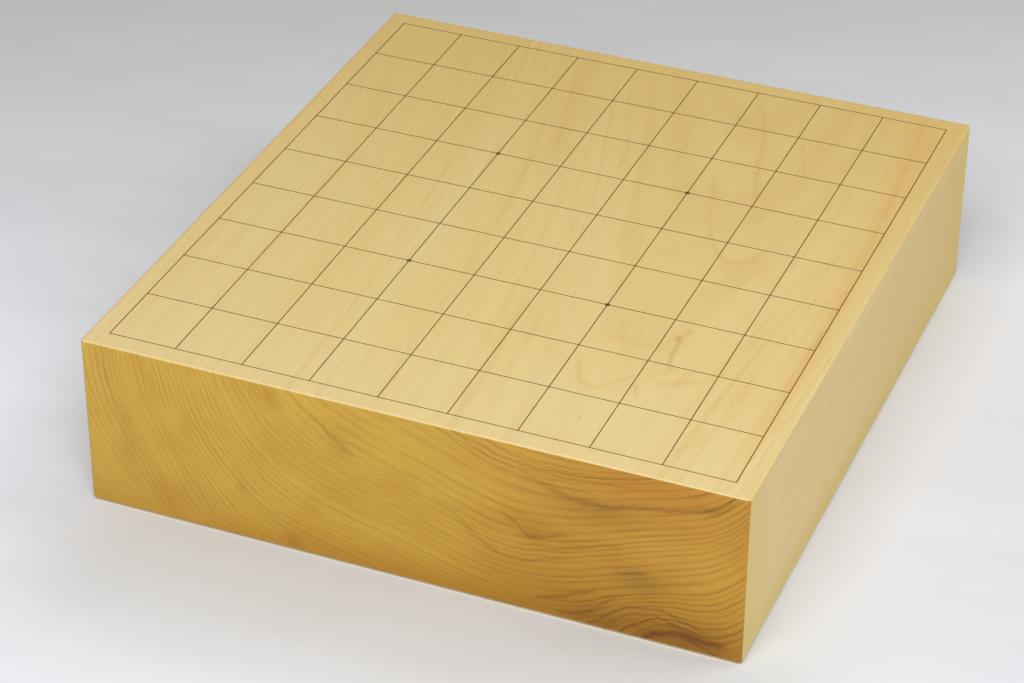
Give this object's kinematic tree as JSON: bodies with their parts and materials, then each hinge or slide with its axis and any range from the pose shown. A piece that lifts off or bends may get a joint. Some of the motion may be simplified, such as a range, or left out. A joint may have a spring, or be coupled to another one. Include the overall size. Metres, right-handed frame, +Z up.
{
  "type": "tabletop shogi board",
  "caption": "Thick footless wooden board for shogi, with a raised black lacquer grid of squares and star points on its top face.",
  "frame": {"origin": "centre of the underside, on the surface the board stands on", "axes": "+X to the right of the player at -Y, +Y along the files to the other player, +Z up"},
  "size_m": [0.333, 0.364, 0.0935],
  "materials": {
    "wood": "satin",
    "lacquer": "gloss"
  },
  "bodies": {
    "root": {"board_block": "wood", "file_line_1": "lacquer", "file_line_2": "lacquer", "file_line_3": "lacquer", "file_line_4": "lacquer", "file_line_5": "lacquer", "file_line_6": "lacquer", "file_line_7": "lacquer", "file_line_8": "lacquer", "file_line_9": "lacquer", "file_line_10": "lacquer", "rank_line_1": "lacquer", "rank_line_2": "lacquer", "rank_line_3": "lacquer", "rank_line_4": "lacquer", "rank_line_5": "lacquer", "rank_line_6": "lacquer", "rank_line_7": "lacquer", "rank_line_8": "lacquer", "rank_line_9": "lacquer", "rank_line_10": "lacquer", "star_point_front_left": "lacquer", "star_point_front_right": "lacquer", "star_point_back_left": "lacquer", "star_point_back_right": "lacquer"}
  },
  "joints": []
}
